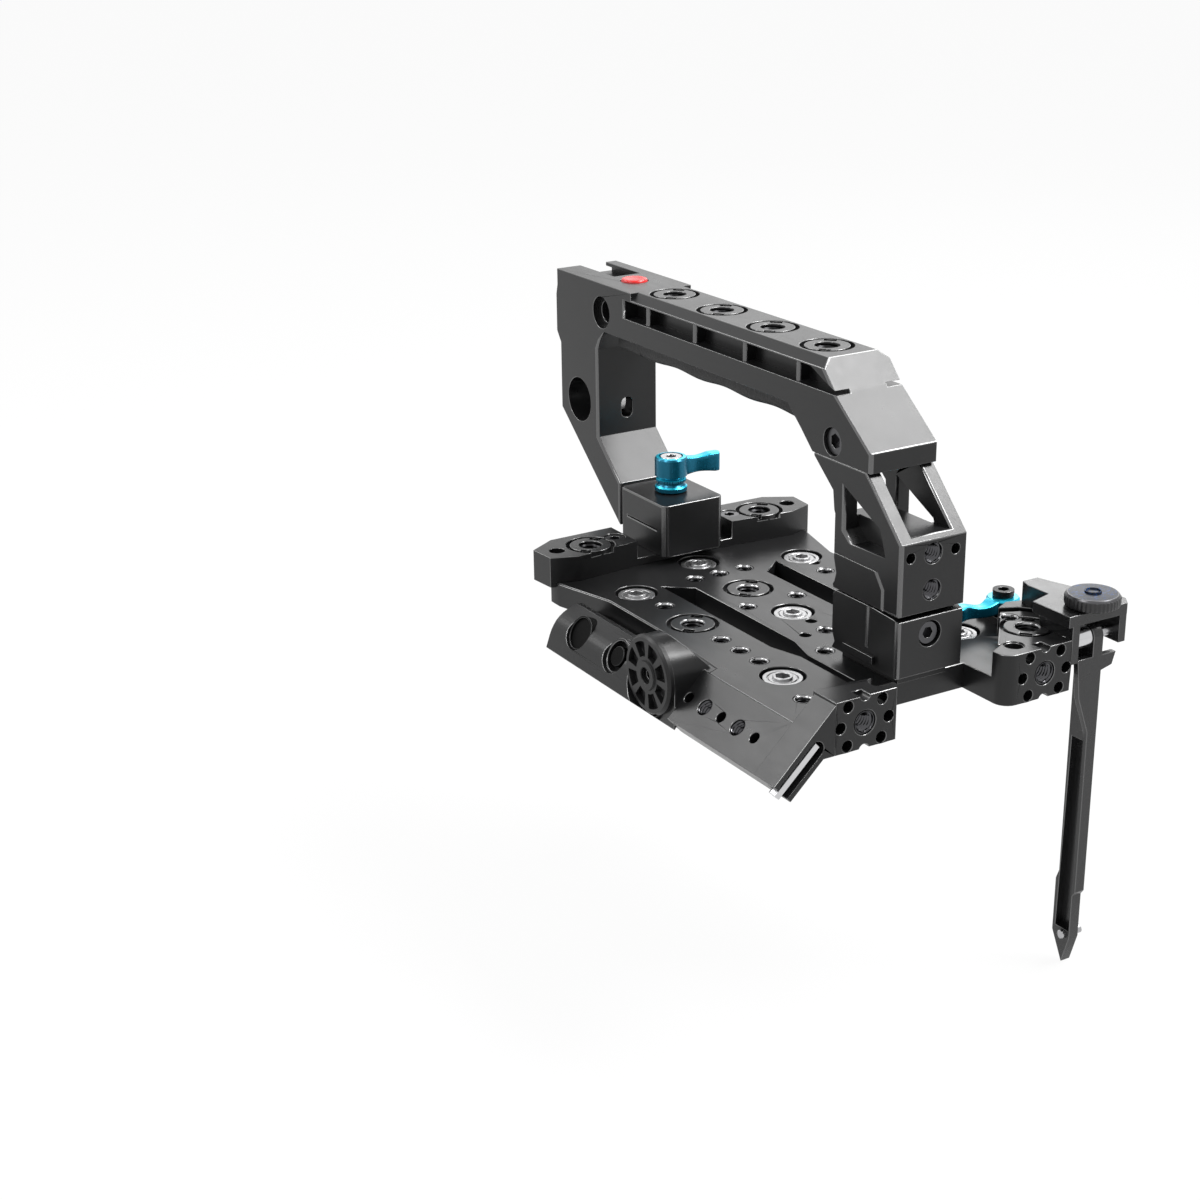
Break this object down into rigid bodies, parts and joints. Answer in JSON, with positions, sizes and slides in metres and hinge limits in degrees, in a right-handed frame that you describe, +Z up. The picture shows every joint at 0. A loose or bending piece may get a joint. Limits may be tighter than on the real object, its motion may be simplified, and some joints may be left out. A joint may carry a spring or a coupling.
{
  "type": "camera cage",
  "caption": "Camera cage top plate with a raised carrying handle, a tool-less clamp, a riser, a sloped side skirt with a rosette and a folding side arm with a knob.",
  "frame": {"origin": "on the underside of the top plate, below its centre screw, in the middle plane of the handle", "axes": "+Z up, +Y forward along the handle, +X to the right seen from behind"},
  "size_m": [0.1632, 0.2649, 0.2428],
  "materials": {
    "frame_black": "satin black anodised",
    "screw_steel": "turned steel",
    "screw_black": "blackened steel",
    "cyan_anodised": "satin cyan anodised",
    "grip_rubber": "matt rubber",
    "button_red": "gloss",
    "knob_plastic": "fine matt grain",
    "key_steel": "satin"
  },
  "bodies": {
    "frame": {"top_plate": "frame_black", "side_skirt": "frame_black", "front_bar": "frame_black", "bar_screws": "screw_black", "plate_screws": "screw_steel", "rosette": "frame_black", "rosette_screw": "screw_steel", "skirt_port": "screw_steel", "skirt_plug": "knob_plastic", "clamp_block": "frame_black", "clamp_screw": "screw_steel", "handle_frame": "frame_black", "finger_grip": "grip_rubber", "button_switch": "knob_plastic", "handle_pins": "screw_black", "side_screw": "screw_black", "riser": "frame_black", "riser_joint": "frame_black", "riser_foot": "frame_black", "foot_screw": "screw_black", "rear_rail": "frame_black", "pad_screw": "screw_steel", "hinge_frame": "frame_black", "hinge_pin": "screw_steel", "arm_nut": "screw_steel"},
    "lever": {"clamp_lever": "cyan_anodised"},
    "rod_knob": {"rod_screw": "cyan_anodised"},
    "button": {"record_button": "button_red"},
    "key": {"hex_key": "key_steel"},
    "arm": {"side_arm": "frame_black", "stop_pin": "screw_steel"},
    "knob": {"arm_knob": "knob_plastic", "knob_cap": "knob_plastic"},
    "pad_handle": {"pad_lever": "cyan_anodised"}
  },
  "joints": [
    {"name": "clamp_lever_turn", "type": "hinge", "parent": "frame", "child": "lever", "pos_m": [0, 0.0894, 0.045], "axis": [0, 0, 1], "range_deg": [-95, 35]},
    {"name": "rod_knob_turn", "type": "hinge", "parent": "frame", "child": "rod_knob", "pos_m": [0, 0.134, 0.04135], "axis": [0, 0.6508, -0.7593], "continuous": true},
    {"name": "record_press", "type": "slide", "parent": "frame", "child": "button", "axis": [0, 0, -1], "range_m": [0, 0.001], "stiffness_N_per_m": 300, "springref_m": -0.001},
    {"name": "key_draw", "type": "slide", "parent": "frame", "child": "key", "axis": [0, -1, 0], "range_m": [0, 0.05]},
    {"name": "arm_swing", "type": "hinge", "parent": "frame", "child": "arm", "pos_m": [0.0668, -0.09525, 0.018], "axis": [1, 0, 0], "range_deg": [-80, 0]},
    {"name": "arm_knob_turn", "type": "hinge", "parent": "frame", "child": "knob", "pos_m": [0.0668, -0.09525, 0.032], "axis": [0, 0, 1], "continuous": true},
    {"name": "pad_lever_turn", "type": "hinge", "parent": "frame", "child": "pad_handle", "pos_m": [0.064, -0.05, 0.016], "axis": [0, 0, 1], "range_deg": [-60, 25]}
  ]
}
